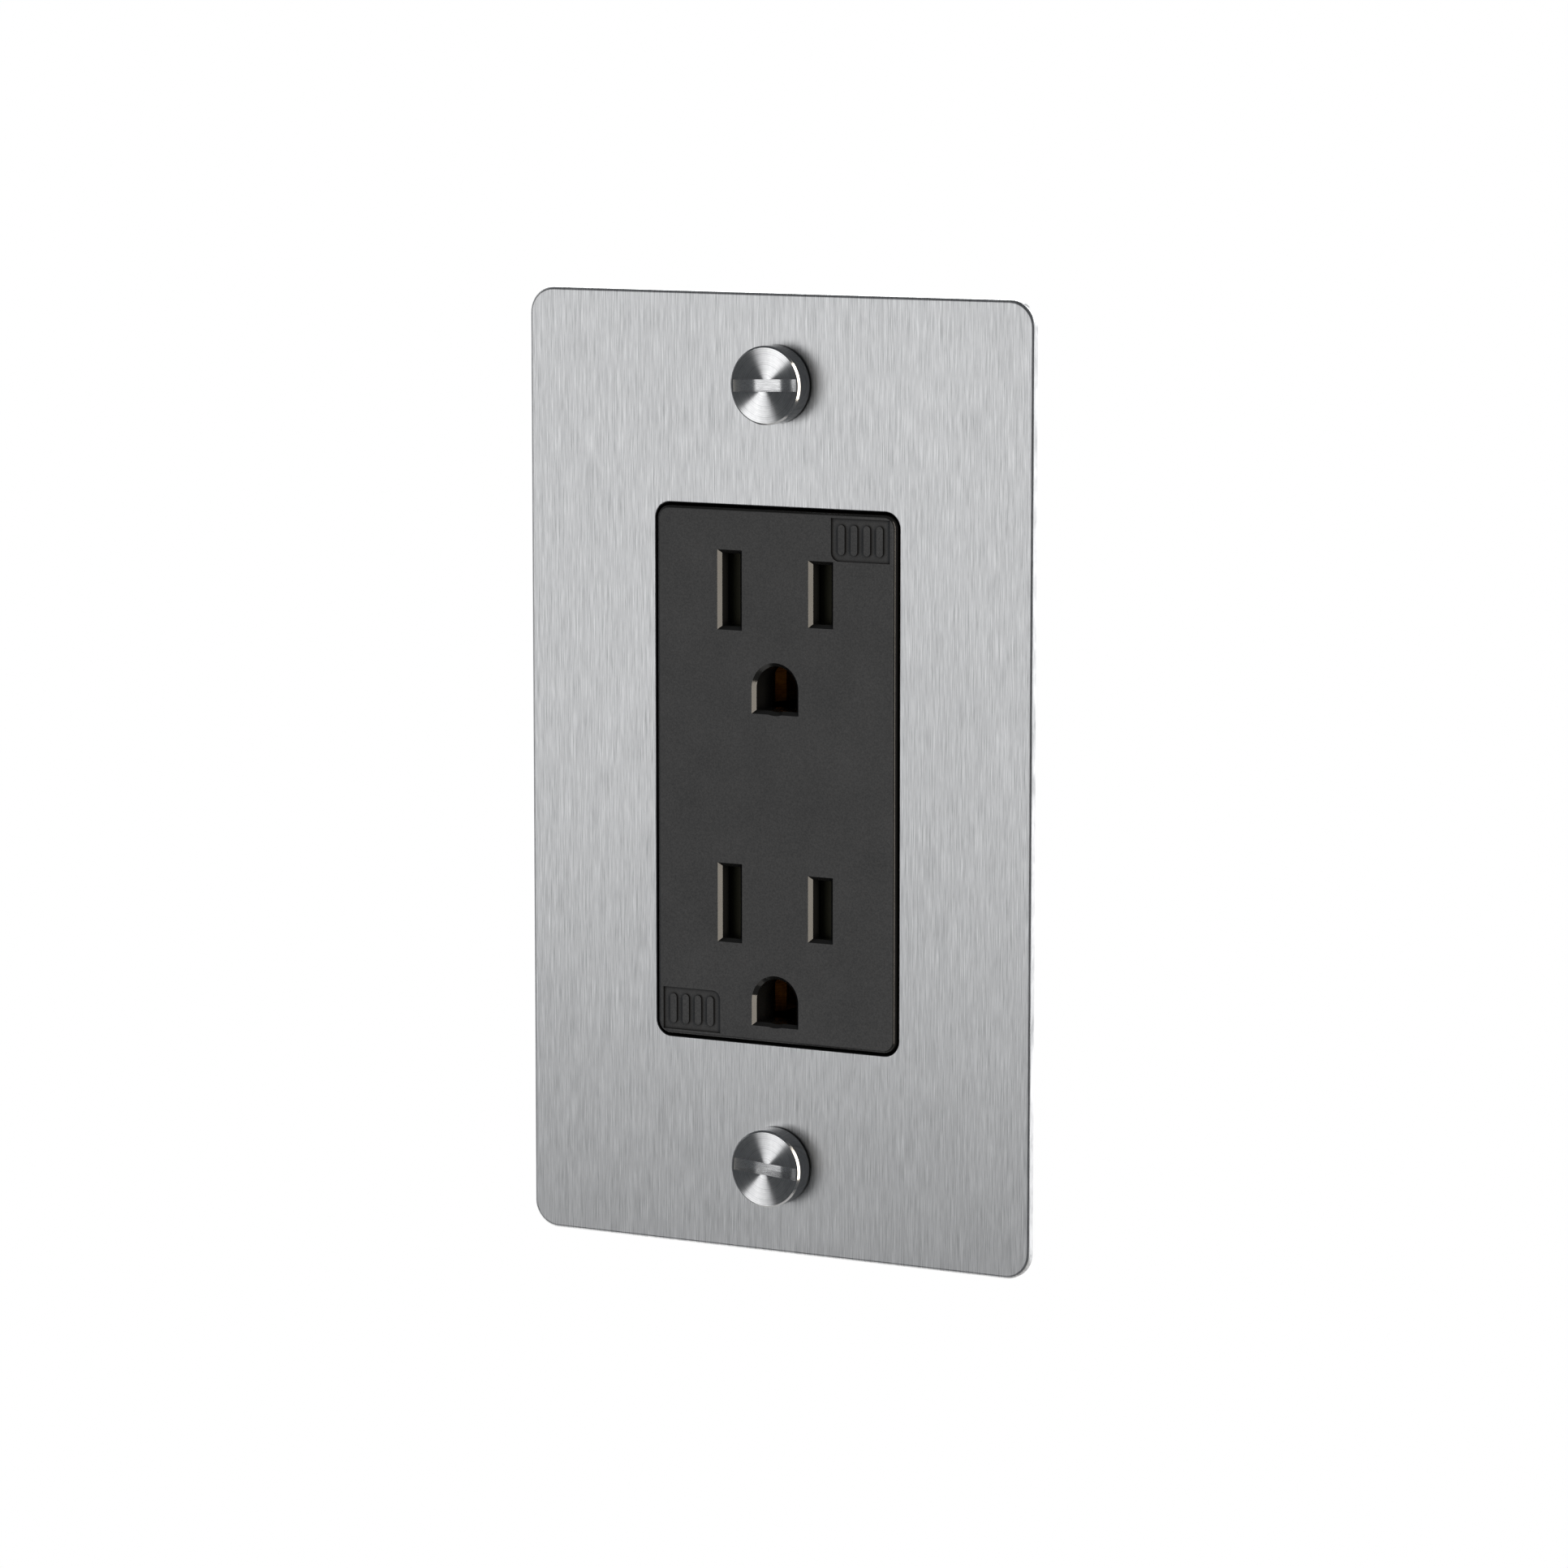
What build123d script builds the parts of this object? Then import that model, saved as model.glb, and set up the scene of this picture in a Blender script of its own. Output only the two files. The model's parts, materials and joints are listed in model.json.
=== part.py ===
from build123d import *
import os

# Duplex receptacle with a flat steel wall plate, millimetres.
# The origin is on the wall plane, level with the middle of the plate. +Z is up, the room is
# towards -Y and the wall box towards +Y. A "height" below is a distance in front of the wall.

# Wall plate
plate_w = 69.85
plate_h = 119.0
plate_t = 1.0
plate_corner_r = 3.3
plate_edge_r = 0.4
plate_stand_off = 4.4       # from the strap's front to the plate's back
opening_w = 34.0
opening_h = 66.8
opening_corner_r = 2.0
opening_edge_r = 0.15

# Backing frame behind the plate
frame_inset = 3.5
frame_web_t = 1.6
frame_rim_t = 1.8
frame_collar_t = 1.5
frame_boss_r = 2.9
frame_inner_corner_r = 1.65

# Strap
strap_t = 1.2
strap_l = 106.4
strap_neck_w = 25.0
strap_rail_w = 5.2
strap_shoulder = 3.0        # from the opening's edge to the end of the wide middle
strap_corner_r = 2.0
strap_ear_r = 5.0
strap_ear_spot = (14.5, 47.2)
strap_ear_hole_r = 1.3
score_w = 0.8
score_depth = 0.4
score_overrun = 1.0         # a score line runs past the ear by this at each end
tapped_collar_r = 2.6
tapped_collar_l = 1.2

# Screws: 6-32 for plate and box, 8-32 for the terminals, 32 turns to the inch
thread_pitch = 25.4 / 32
screw_r = 3.505 / 2
terminal_r = 4.166 / 2
thread_gap = 0.05
screw_hole_gap = 0.3
plate_screw_pitch = 96.84
plate_screw_l = 12.0
coin_r = 4.825
coin_t = 2.6
coin_chamfer = 0.22
coin_slot_w = 1.5
coin_slot_l = 8.75
coin_slot_depth = 1.5
coin_slot_tilt = {"top": 2.0, "bottom": -4.0}
washer_r = 4.3
washer_t = 0.3
seat_gap = 0.05             # between a screw, its washer and what they press on
box_pitch = 83.34
box_slot_w = 3.9
box_slot_l = 7.1
box_screw_l = 25.4
box_neck_r = 1.45
box_neck_rest = 0.3         # plain neck left behind the retaining square
box_head_r = 3.45
box_head_t = 2.0
box_head_edge_r = 1.0
box_cross_l = 4.14
driver_slot_w = 1.1
driver_slot_depth = 0.9
retainer_side = 8.0
retainer_t = 1.0

# Receptacle face
face_gap = 0.35             # between the face and the opening around it
face_proud = 0.4            # the face stands this far in front of the plate
face_front_t = 2.0
face_wall = 1.8
face_edge_r = 0.5
flange_t = 4.0
outlet_pitch = 38.89
outlet_rise = 3.5           # middle of the two blade lines above the plate's middle
blade_x = 6.35
slot_w = 3.45
slot_l = {"neutral": 9.9, "hot": 8.24}
slot_bevel = 0.45           # lead-in around the blade slots and ground holes
ground_drop = 11.9
ground_w = 6.55
ground_h = 6.42
ground_collar_t = 1.0
pocket_w = 8.1
pocket_h = 5.3
pocket_depth = 0.25
pocket_corner_r = 1.1
pocket_margin = (0.8, 0.6)
bar_w = 0.9
bar_l = 3.7
bar_pitch = 1.75
bar_count = 4

# Rear body
body_lip_x = 4.0            # the body is wider than the opening by this on each side
body_lip_z = 1.6
body_depth = 20.0
body_corner_r = 2.0
body_edge_r = 1.0
body_wall_x = 8.5
body_wall_z = 3.8
body_back_t = 2.0
terminal_recess = 2.5
terminal_recess_back = 15.5
wire_guide_r = 1.2
wire_guide_spread = 2.8     # from a terminal screw's axis to the wire guides beside it
wire_guide_inset = 0.5
back_panel = (22.0, 44.0)
back_panel_depth = 0.4
assembly_inset = (2.1, 2.8)
assembly_r = 1.2
assembly_gap = 0.15
assembly_head_r = 2.1
assembly_head_t = 1.2
assembly_socket_depth = 0.6
assembly_counterbore = 1.6

# Shutters and their tray
tray_t = 1.4
tray_gap = 0.1
blade_hole_gap = 0.2
shutter_t = 1.8
shutter_gap = 0.15
shutter_travel = 4.0
shutter_cover = 0.3         # how far the closed shutter reaches past a slot
shutter_below = 5.6
shutter_above = 7.4
shutter_tail = 6.1
shutter_ramp_low = 0.2
rail_gap = 0.12
rail_t = 0.68
rail_inset = 1.0            # from the tray's sides to the ends of the guide rails
spring_pocket = (-7.6, -0.5)
spring_pocket_z = (5.3, 6.7)
peg_l = 1.0
peg_gap = 0.2
spring_wire_r = 0.14
spring_wire_sides = 8
spring_r = 0.45
spring_turns = 6
spring_gap = 0.05

# Contacts
leaf_t = 0.6
leaf_gap = 1.4
leaf_front = 0.6
leaf_back = 12.0
flare = 0.8
flare_l = 1.5
bus_t = 0.8
bus_front = 4.2
bus_riser_x = 10.0
contact_half = {"hot": 3.2, "neutral": 4.0}
terminal_plate_back = 14.5
bridge_w = 3.0              # break-off bridge between a contact's two terminals
bridge_l = 4.0
terminal_spread = 10.5
terminal_depth = 9.5
notch_gap = 0.1
notch_reach = 1.0           # a contact's notch in the body opens into the hollow by this
pin_gap = 5.0
ground_half = 2.4
ground_back = 15.2
ground_foot_l = 1.9
ground_foot_gap = 0.4       # between the body's end and the ground strip's foot
ground_spine_gap = 0.2
ground_spine_rest = 1.0     # the spine runs past the upper grip by this

# Terminals
clamp_side = 9.0
clamp_t = 1.0
clamp_corner_r = 0.8
clamp_gap = 0.3             # between a pressure plate and the metal that it presses on
clamp_hole_gap = 0.15
terminal_head_r = 3.8
terminal_head_t = 1.9
terminal_head_chamfer = 0.35
terminal_head_gap = 0.1
terminal_shank_l = 6.0
blind_hole_gap = 0.25
blind_hole_rest = 0.4
ground_tab_w = 9.0
ground_tab_depth = 12.0
ground_screw_depth = 7.0
ground_screw_z = -25.5
ground_clamp_side = 8.0
ground_hex_r = 4.0

# Heights and places that follow from the sizes above
plate_back = strap_t + plate_stand_off
plate_front = plate_back + plate_t
face_front = plate_front + face_proud
face_inner = face_front - face_front_t
face_w = opening_w - 2 * face_gap
face_h = opening_h - 2 * face_gap
face_corner_r = opening_corner_r - face_gap
cavity_w = face_w - 2 * face_wall
cavity_h = face_h - 2 * face_wall
cavity_corner_r = 1.0
shutter_front = face_inner - shutter_gap
shutter_back = shutter_front - shutter_t
tray_front = shutter_back - shutter_gap
tray_back = tray_front - tray_t
body_w = opening_w + 2 * body_lip_x
body_h = opening_h + 2 * body_lip_z
body_hollow_w = body_w - 2 * body_wall_x
body_hollow_h = body_h - 2 * body_wall_z
strap_w = opening_w + 2 * strap_rail_w
terminal_floor_x = body_w / 2 - terminal_recess
terminal_face_x = terminal_floor_x + bus_t
assembly_x = body_w / 2 - assembly_inset[0]
assembly_z = body_h / 2 - assembly_inset[1]
blade_z = {
    "top": outlet_rise + outlet_pitch / 2,
    "bottom": outlet_rise - outlet_pitch / 2,
}
ground_z = {name: z - ground_drop for name, z in blade_z.items()}
terminal_z = {"top": outlet_rise + terminal_spread, "bottom": outlet_rise - terminal_spread}
plate_screw_z = {"top": plate_screw_pitch / 2, "bottom": -plate_screw_pitch / 2}
box_screw_z = {"top": box_pitch / 2, "bottom": -box_pitch / 2}
plate_screw_spots = [(0, z) for z in plate_screw_z.values()]
box_screw_spots = [(0, z) for z in box_screw_z.values()]
assembly_spots = [(x, z) for x in (-assembly_x, assembly_x) for z in (-assembly_z, assembly_z)]
blade_spots = [
    (side * blade_x, z, slot_l[pole])
    for side, pole in ((-1, "neutral"), (1, "hot"))
    for z in blade_z.values()
]
END_NAMES = ("top", "bottom")
SIDES = {"hot": 1, "neutral": -1}


def room(height):
    """A plane parallel to the wall, seen from the room: local x is +X and local y is +Z."""
    return Plane.XZ.offset(height)


def upright(x):
    """A plane square to the wall, seen from the right: local x is +Y and local y is +Z."""
    return Plane.YZ.offset(x)


def span(low, high, low_z, high_z, mode=Mode.ADD):
    """A rectangle from its two corners."""
    with Locations(((low + high) / 2, (low_z + high_z) / 2)):
        Rectangle(high - low, high_z - low_z, mode=mode)


def ground_outline(z, margin=0.0, mode=Mode.ADD):
    """The ground hole: an arch on a flat sill, grown by margin all round."""
    arch_z = z + (ground_h - ground_w) / 2
    sill_z = z - ground_h / 2
    half = ground_w / 2 + margin
    with Locations((0, arch_z)):
        Circle(half, mode=mode)
    span(-half, half, sill_z - margin, arch_z, mode=mode)


def save(part, label):
    part.label = label
    export_step(part, f"parts/{label}.step")


def make_wall_plate():
    with BuildPart() as wall_plate:
        with BuildSketch(room(plate_back)):
            RectangleRounded(plate_w, plate_h, plate_corner_r)
            RectangleRounded(opening_w, opening_h, opening_corner_r, mode=Mode.SUBTRACT)
            with Locations(*plate_screw_spots):
                Circle(screw_r + screw_hole_gap, mode=Mode.SUBTRACT)
        extrude(amount=plate_t)
        front = wall_plate.faces().sort_by(Axis.Y)[0]
        fillet(front.outer_wire().edges(), plate_edge_r)
        front = wall_plate.faces().sort_by(Axis.Y)[0]
        opening = front.inner_wires().sort_by(SortBy.LENGTH)[-1]
        fillet(opening.edges(), opening_edge_r)
    save(wall_plate.part, "wall_plate")


def make_backing_frame():
    frame_w = plate_w - 2 * frame_inset
    frame_h = plate_h - 2 * frame_inset
    web_back = plate_back - frame_web_t
    with BuildPart() as backing_frame:
        with BuildSketch(room(0)):
            RectangleRounded(frame_w, frame_h, plate_corner_r)
        extrude(amount=plate_back)
        with BuildSketch(room(0)):
            RectangleRounded(frame_w - 2 * frame_rim_t, frame_h - 2 * frame_rim_t, frame_inner_corner_r)
        extrude(amount=web_back, mode=Mode.SUBTRACT)
        with BuildSketch(room(strap_t)):
            RectangleRounded(
                opening_w + 2 * frame_collar_t,
                opening_h + 2 * frame_collar_t,
                opening_corner_r + frame_collar_t,
            )
            with Locations(*plate_screw_spots):
                Circle(frame_boss_r)
        extrude(amount=web_back - strap_t)
        with BuildSketch(room(0)):
            RectangleRounded(opening_w, opening_h, opening_corner_r)
            with Locations(*plate_screw_spots):
                Circle(screw_r + screw_hole_gap)
        extrude(amount=plate_back, mode=Mode.SUBTRACT)
    save(backing_frame.part, "backing_frame")


def make_mounting_strap():
    ear_x, ear_z = strap_ear_spot
    ears = [(x, z) for x in (-ear_x, ear_x) for z in (-ear_z, ear_z)]
    tab_x = body_w / 2
    with BuildPart() as mounting_strap:
        with BuildSketch(room(0)) as outline:
            Rectangle(strap_w, opening_h + 2 * strap_shoulder)
            Rectangle(strap_neck_w, strap_l)
            with Locations(*ears):
                Circle(strap_ear_r)
            fillet(outline.vertices().filter_by_position(Axis.X, -strap_w, -strap_w / 2), strap_corner_r)
            fillet(outline.vertices().filter_by_position(Axis.X, strap_w / 2, strap_w), strap_corner_r)
            RectangleRounded(opening_w, opening_h, opening_corner_r, mode=Mode.SUBTRACT)
            with Locations(*box_screw_spots):
                SlotOverall(box_slot_l, box_slot_w, mode=Mode.SUBTRACT)
            with Locations(*ears):
                Circle(strap_ear_hole_r, mode=Mode.SUBTRACT)
        extrude(amount=strap_t)
        with BuildSketch(room(strap_t - score_depth)):
            with Locations(*[(x * strap_neck_w / 2, z) for x in (-1, 1) for z in (-ear_z, ear_z)]):
                Rectangle(score_w, 2 * (strap_ear_r + score_overrun))
        extrude(amount=score_depth, mode=Mode.SUBTRACT)
        with BuildSketch(room(0)):
            with Locations(*plate_screw_spots):
                Circle(tapped_collar_r)
        extrude(amount=-tapped_collar_l)
        with BuildSketch(room(-tapped_collar_l)):
            with Locations(*plate_screw_spots):
                Circle(screw_r + thread_gap)
        extrude(amount=tapped_collar_l + strap_t, mode=Mode.SUBTRACT)
        with BuildSketch(room(-ground_tab_depth)):
            span(
                -strap_w / 2,
                -tab_x,
                ground_screw_z - ground_tab_w / 2,
                ground_screw_z + ground_tab_w / 2,
            )
        extrude(amount=ground_tab_depth + strap_t)
        with BuildSketch(upright(-strap_w / 2)):
            with Locations((ground_screw_depth, ground_screw_z)):
                Circle(terminal_r + thread_gap)
        extrude(amount=strap_w / 2 - tab_x, mode=Mode.SUBTRACT)
        with BuildSketch(room(0)):
            with Locations(*assembly_spots):
                Circle(assembly_r + thread_gap)
        extrude(amount=strap_t, mode=Mode.SUBTRACT)
    save(mounting_strap.part, "mounting_strap")


def make_receptacle_face():
    pocket_x = face_w / 2 - pocket_margin[0] - pocket_w / 2
    pocket_z = face_h / 2 - pocket_margin[1] - pocket_h / 2
    first_bar = -(bar_count - 1) / 2
    with BuildPart() as receptacle_face:
        with BuildSketch(room(0)):
            RectangleRounded(face_w, face_h, face_corner_r)
        extrude(amount=face_front)
        fillet(receptacle_face.faces().sort_by(Axis.Y)[0].edges(), face_edge_r)
        with BuildSketch(room(-flange_t)):
            RectangleRounded(body_w, body_h, body_corner_r)
        extrude(amount=flange_t)
        with BuildSketch(room(-flange_t)):
            RectangleRounded(cavity_w, cavity_h, cavity_corner_r)
        extrude(amount=flange_t + face_inner, mode=Mode.SUBTRACT)
        with BuildSketch(room(tray_front)):
            for z in ground_z.values():
                ground_outline(z, ground_collar_t)
        extrude(amount=face_inner - tray_front)
        with BuildSketch(room(tray_front)):
            for z in ground_z.values():
                ground_outline(z, -slot_bevel)
        extrude(amount=face_front - tray_front, mode=Mode.SUBTRACT)
        with BuildSketch(room(face_inner)):
            for x, z, length in blade_spots:
                with Locations((x, z)):
                    Rectangle(slot_w - 2 * slot_bevel, length - 2 * slot_bevel)
        extrude(amount=face_front_t, mode=Mode.SUBTRACT)
        front = receptacle_face.faces().sort_by(Axis.Y)[0]
        chamfer(front.inner_wires().edges(), slot_bevel)
        with BuildSketch(room(-flange_t)):
            with Locations(*assembly_spots):
                Circle(assembly_r + assembly_gap)
        extrude(amount=flange_t, mode=Mode.SUBTRACT)
        for turn in (1, -1):
            with BuildSketch(room(face_front - pocket_depth)) as pocket:
                with Locations((turn * pocket_x, turn * pocket_z)):
                    Rectangle(pocket_w, pocket_h)
                inner_corner = pocket.vertices().sort_by_distance((0, 0))[0]
                fillet(inner_corner, pocket_corner_r)
            extrude(amount=pocket_depth, mode=Mode.SUBTRACT)
            with BuildSketch(room(face_front - pocket_depth)):
                for i in range(bar_count):
                    with Locations((turn * pocket_x + (first_bar + i) * bar_pitch, turn * pocket_z)):
                        SlotOverall(bar_l, bar_w, rotation=90)
            extrude(amount=pocket_depth)
    save(receptacle_face.part, "receptacle_face")


def make_rear_body():
    recess_low = {pole: blade_z["bottom"] - contact_half[pole] - notch_gap for pole in SIDES}
    recess_high = {pole: blade_z["top"] + contact_half[pole] + notch_gap for pole in SIDES}
    blind_l = terminal_shank_l - clamp_gap - clamp_t - terminal_head_gap - bus_t + blind_hole_rest
    ground_blind_l = terminal_shank_l - clamp_gap - clamp_t - terminal_head_gap
    ground_blind_l += blind_hole_rest - (strap_w - body_w) / 2
    wire_guides = [
        (side * (body_w / 2 - wire_guide_inset), z + way * wire_guide_spread)
        for side in SIDES.values()
        for z in terminal_z.values()
        for way in (-1, 1)
    ]
    with BuildPart() as rear_body:
        with BuildSketch(room(-body_depth)):
            RectangleRounded(body_w, body_h, body_corner_r)
        extrude(amount=body_depth - flange_t)
        fillet(rear_body.faces().sort_by(Axis.Y)[-1].edges(), body_edge_r)
        with BuildSketch(room(-body_depth + body_back_t)):
            Rectangle(body_hollow_w, body_hollow_h)
        extrude(amount=body_depth - body_back_t - flange_t, mode=Mode.SUBTRACT)
        for pole, side in SIDES.items():
            with BuildSketch(upright(side * terminal_floor_x)):
                span(flange_t, terminal_recess_back, recess_low[pole], recess_high[pole])
            extrude(amount=side * terminal_recess, mode=Mode.SUBTRACT)
            with BuildSketch(upright(side * terminal_floor_x)):
                for z in terminal_z.values():
                    with Locations((terminal_depth, z)):
                        Circle(terminal_r + blind_hole_gap)
            extrude(amount=-side * blind_l, mode=Mode.SUBTRACT)
            with BuildSketch(room(-bus_front - bus_t)):
                for z in blade_z.values():
                    half = contact_half[pole] + notch_gap
                    ends = sorted((side * (body_hollow_w / 2 - notch_reach), side * terminal_floor_x))
                    span(ends[0], ends[1], z - half, z + half)
            extrude(amount=bus_front + bus_t - flange_t, mode=Mode.SUBTRACT)
        with BuildSketch(upright(-body_w / 2)):
            with Locations((ground_screw_depth, ground_screw_z)):
                Circle(terminal_r + blind_hole_gap)
        extrude(amount=ground_blind_l, mode=Mode.SUBTRACT)
        with BuildSketch(room(-flange_t - bus_t)):
            half = pin_gap / 2 + leaf_t + notch_gap
            span(-half, half, -body_h / 2, -body_hollow_h / 2 + notch_reach)
        extrude(amount=bus_t, mode=Mode.SUBTRACT)
        with BuildSketch(room(-body_depth)):
            with Locations(*wire_guides):
                Circle(wire_guide_r)
        extrude(amount=body_depth - terminal_recess_back, mode=Mode.SUBTRACT)
        with BuildSketch(room(-body_depth)):
            RectangleRounded(*back_panel, body_corner_r)
        extrude(amount=back_panel_depth, mode=Mode.SUBTRACT)
        with BuildSketch(room(-body_depth)):
            with Locations(*assembly_spots):
                Circle(assembly_r + assembly_gap)
        extrude(amount=body_depth - flange_t, mode=Mode.SUBTRACT)
        with BuildSketch(room(-body_depth)):
            with Locations(*assembly_spots):
                Circle(assembly_head_r + assembly_gap)
        extrude(amount=assembly_counterbore, mode=Mode.SUBTRACT)
    save(rear_body.part, "rear_body")


def make_shutter_tray():
    tray_w = cavity_w - 2 * tray_gap
    tray_h = cavity_h - 2 * tray_gap
    rail_end = tray_w / 2 - rail_inset
    peg_high = spring_pocket[1] - peg_gap
    with BuildPart() as shutter_tray:
        with BuildSketch(room(tray_back)):
            RectangleRounded(tray_w, tray_h, cavity_corner_r)
            for x, z, length in blade_spots:
                with Locations((x, z)):
                    Rectangle(slot_w + 2 * blade_hole_gap, length + 2 * blade_hole_gap, mode=Mode.SUBTRACT)
            for z in ground_z.values():
                ground_outline(z, mode=Mode.SUBTRACT)
        extrude(amount=tray_t)
        for z in blade_z.values():
            low_rail = z - shutter_below - rail_gap
            high_rail = z + shutter_above + rail_gap
            pocket_low = z + spring_pocket_z[0] + rail_gap
            pocket_high = z + spring_pocket_z[1] - rail_gap
            with BuildSketch(room(tray_front)):
                span(-rail_end, rail_end, low_rail - rail_t, low_rail)
                span(-rail_end, rail_end, high_rail, high_rail + rail_t)
                span(peg_high - peg_l, peg_high, pocket_low, pocket_high)
            extrude(amount=face_inner - tray_front)
    save(shutter_tray.part, "shutter_tray")


def make_shutter(end):
    z = blade_z[end]
    slot_half = slot_w / 2
    left = -blade_x - slot_half - shutter_cover
    right = blade_x - slot_half - shutter_cover
    window_half = slot_l["hot"] / 2 + blade_hole_gap
    ramps = ((left, slot_l["neutral"] / 2), (right, window_half))
    ramp_l = slot_w + shutter_cover
    low = -shutter_back - shutter_ramp_low
    high = -shutter_front
    with BuildPart() as shutter:
        with BuildSketch(room(shutter_back)):
            span(left, right + shutter_tail, z - shutter_below, z + shutter_above)
            span(right - shutter_travel, right, z - window_half, z + window_half, mode=Mode.SUBTRACT)
            span(*spring_pocket, z + spring_pocket_z[0], z + spring_pocket_z[1], mode=Mode.SUBTRACT)
        extrude(amount=shutter_t)
        for start, half in ramps:
            with BuildSketch(Plane.XY.offset(z - half)):
                with BuildLine():
                    Polyline((start, low), (start + ramp_l, high), (start, high), close=True)
                make_face()
            extrude(amount=2 * half, mode=Mode.SUBTRACT)
    save(shutter.part, f"shutter_{end}")


def make_shutter_spring(end):
    z = blade_z[end] + (spring_pocket_z[0] + spring_pocket_z[1]) / 2
    y = -(shutter_front + shutter_back) / 2
    start = spring_pocket[0] + spring_wire_r + spring_gap
    stop = spring_pocket[1] - peg_gap - peg_l - spring_wire_r - spring_gap
    height = stop - start
    with BuildPart() as shutter_spring:
        with BuildLine() as coil:
            Helix(height / spring_turns, height, spring_r, center=(start, y, z), direction=(1, 0, 0))
        with BuildSketch(Plane(origin=coil.line @ 0, z_dir=coil.line % 0)):
            RegularPolygon(spring_wire_r, spring_wire_sides)
        sweep(path=coil.line, is_frenet=True)
    save(shutter_spring.part, f"shutter_spring_{end}")


def make_side_contact(pole):
    side = SIDES[pole]
    half = contact_half[pole]
    inner = blade_x - leaf_gap / 2
    outer = blade_x + leaf_gap / 2
    back = leaf_back + bus_t
    with BuildPart() as side_contact:
        for z in blade_z.values():
            with BuildSketch(Plane.XY.offset(z - half)) as profile:
                span(inner - leaf_t, inner, leaf_front, leaf_back)
                span(outer, outer + leaf_t, leaf_front, leaf_back)
                for root, way in ((inner, -1), (outer, 1)):
                    with BuildLine():
                        Polyline(
                            (root, leaf_front),
                            (root + way * leaf_t, leaf_front),
                            (root + way * (leaf_t + flare), leaf_front - flare_l),
                            (root + way * flare, leaf_front - flare_l),
                            close=True,
                        )
                    make_face()
                span(inner - leaf_t, bus_riser_x + bus_t, leaf_back, back)
                span(bus_riser_x, bus_riser_x + bus_t, bus_front, back)
                span(bus_riser_x, terminal_face_x, bus_front, bus_front + bus_t)
                if side < 0:
                    mirror(about=Plane.YZ, mode=Mode.REPLACE)
            extrude(amount=2 * half)
        with BuildSketch(upright(side * terminal_floor_x)):
            span(bus_front, terminal_plate_back, blade_z["bottom"] - half, blade_z["top"] + half)
            span(
                bus_front,
                terminal_plate_back - bridge_w,
                outlet_rise - bridge_l / 2,
                outlet_rise + bridge_l / 2,
                mode=Mode.SUBTRACT,
            )
            for z in terminal_z.values():
                with Locations((terminal_depth, z)):
                    Circle(terminal_r + thread_gap, mode=Mode.SUBTRACT)
        extrude(amount=side * bus_t)
    save(side_contact.part, f"{pole}_contact")


def make_ground_contact():
    outer = pin_gap / 2 + leaf_t
    spine_low = -body_hollow_h / 2 + ground_spine_gap
    spine_high = ground_z["top"] + ground_half + ground_spine_rest
    outside = -body_h / 2 - ground_foot_gap - bus_t
    with BuildPart() as ground_contact:
        for z in ground_z.values():
            with BuildSketch(Plane.XY.offset(z - ground_half)):
                for way in (-1, 1):
                    inside = way * pin_gap / 2
                    span(*sorted((inside, way * outer)), leaf_front, ground_back)
                    with BuildLine():
                        Polyline(
                            (inside, leaf_front),
                            (way * outer, leaf_front),
                            (way * (outer + flare), leaf_front - flare_l),
                            (inside + way * flare, leaf_front - flare_l),
                            close=True,
                        )
                    make_face()
            extrude(amount=2 * ground_half)
        with BuildSketch(room(-ground_back - bus_t)):
            span(-outer, outer, spine_low, spine_high)
        extrude(amount=bus_t)
        with BuildSketch(room(-ground_back)):
            span(-outer, outer, spine_low, spine_low + bus_t)
        extrude(amount=ground_back - flange_t)
        with BuildSketch(room(-flange_t - bus_t)):
            span(-outer, outer, outside, spine_low + bus_t)
        extrude(amount=bus_t)
        with BuildSketch(room(-flange_t)):
            span(-outer, outer, outside, outside + bus_t)
        extrude(amount=flange_t)
        with BuildSketch(room(-bus_t)):
            span(-outer, outer, outside + bus_t - ground_foot_l, outside)
        extrude(amount=bus_t)
    save(ground_contact.part, "ground_contact")


def make_plate_screw(end):
    z = plate_screw_z[end]
    head_back = plate_front + washer_t + 2 * seat_gap
    head_front = head_back + coin_t
    cutter_r = (coin_slot_l**2 / 4 + coin_slot_depth**2) / (2 * coin_slot_depth)
    tilt = coin_slot_tilt[end]
    across = Plane(origin=(0, 0, z), x_dir=(1, 0, 0), z_dir=(0, 0, 1)).rotated((0, -tilt, 0))
    with BuildPart() as plate_screw:
        with BuildSketch(room(head_back)):
            with Locations((0, z)):
                Circle(coin_r)
        extrude(amount=coin_t)
        chamfer(plate_screw.faces().sort_by(Axis.Y)[0].edges(), coin_chamfer)
        with BuildSketch(across):
            with Locations((0, -head_front - cutter_r + coin_slot_depth)):
                Circle(cutter_r)
        extrude(amount=coin_slot_w / 2, both=True, mode=Mode.SUBTRACT)
        with BuildSketch(room(head_back - plate_screw_l)):
            with Locations((0, z)):
                Circle(screw_r)
        extrude(amount=plate_screw_l)
        chamfer(plate_screw.faces().sort_by(Axis.Y)[-1].edges(), thread_pitch / 2)
    save(plate_screw.part, f"plate_screw_{end}")


def make_plate_screw_washer(end):
    with BuildPart() as plate_screw_washer:
        with BuildSketch(room(plate_front + seat_gap)):
            with Locations((0, plate_screw_z[end])):
                Circle(washer_r)
                Circle(screw_r + thread_gap, mode=Mode.SUBTRACT)
        extrude(amount=washer_t)
    save(plate_screw_washer.part, f"plate_screw_washer_{end}")


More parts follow.
